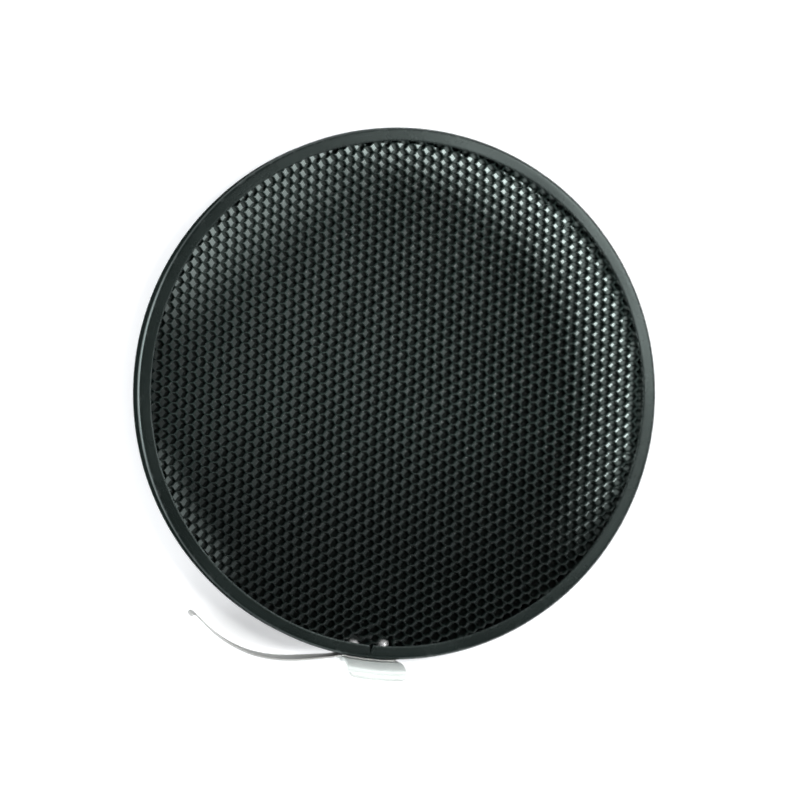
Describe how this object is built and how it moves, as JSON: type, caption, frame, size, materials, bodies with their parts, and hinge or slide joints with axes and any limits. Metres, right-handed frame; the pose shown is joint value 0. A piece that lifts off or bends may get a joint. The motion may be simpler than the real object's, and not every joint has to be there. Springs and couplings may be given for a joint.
{
  "type": "honeycomb grid",
  "caption": "Round honeycomb light grid: black foil core in a rolled channel hoop, with a riveted leaf spring and pull tab that hold it in a reflector.",
  "frame": {"origin": "middle of the whole part's outline seen from the front, on the plane of the hoop's rear face; the hoop's centre is 2.94 mm above it in Y", "axes": "+Z along the grid's axis out of the front face, +Y up as the grid hangs in use with the spring at the bottom, +X to the right seen from the front"},
  "size_m": [0.166, 0.1718, 0.0203],
  "materials": {
    "black_paint": "satin black stove enamel, lightly rubbed along the edges",
    "black_foil": "thin aluminium foil dip-coated satin black, with bare glints on the cut edges",
    "spring_steel": "cold-rolled spring strip, fine grain along its length",
    "tab_steel": "bright plated sheet steel",
    "rivet_aluminium": "bright blind rivet"
  },
  "bodies": {
    "grid": {"ring_channel": "black_paint", "foil_ribbon_01": "black_foil", "foil_ribbon_02": "black_foil", "foil_ribbon_03": "black_foil", "foil_ribbon_04": "black_foil", "foil_ribbon_05": "black_foil", "foil_ribbon_06": "black_foil", "foil_ribbon_07": "black_foil", "foil_ribbon_08": "black_foil", "foil_ribbon_09": "black_foil", "foil_ribbon_10": "black_foil", "foil_ribbon_11": "black_foil", "foil_ribbon_12": "black_foil", "foil_ribbon_13": "black_foil", "foil_ribbon_14": "black_foil", "foil_ribbon_15": "black_foil", "foil_ribbon_16": "black_foil", "foil_ribbon_17": "black_foil", "foil_ribbon_18": "black_foil", "foil_ribbon_19": "black_foil", "foil_ribbon_20": "black_foil", "foil_ribbon_21": "black_foil", "foil_ribbon_22": "black_foil", "foil_ribbon_23": "black_foil", "foil_ribbon_24": "black_foil", "foil_ribbon_25": "black_foil", "foil_ribbon_26": "black_foil", "foil_ribbon_27": "black_foil", "foil_ribbon_28": "black_foil", "foil_ribbon_29": "black_foil", "foil_ribbon_30": "black_foil", "foil_ribbon_31": "black_foil", "foil_ribbon_32": "black_foil", "foil_ribbon_33": "black_foil", "leaf_spring_root": "spring_steel", "pull_tab": "tab_steel", "rivet_left": "rivet_aluminium", "rivet_right": "rivet_aluminium"},
    "spring_arm": {"leaf_spring_arm": "spring_steel"}
  },
  "joints": [
    {"name": "spring_flex", "type": "hinge", "parent": "grid", "child": "spring_arm", "pos_m": [-0.01962, -0.07826, 0.0055], "axis": [0, 0, -1], "range_deg": [0, 11], "stiffness_Nm_per_rad": 1}
  ]
}
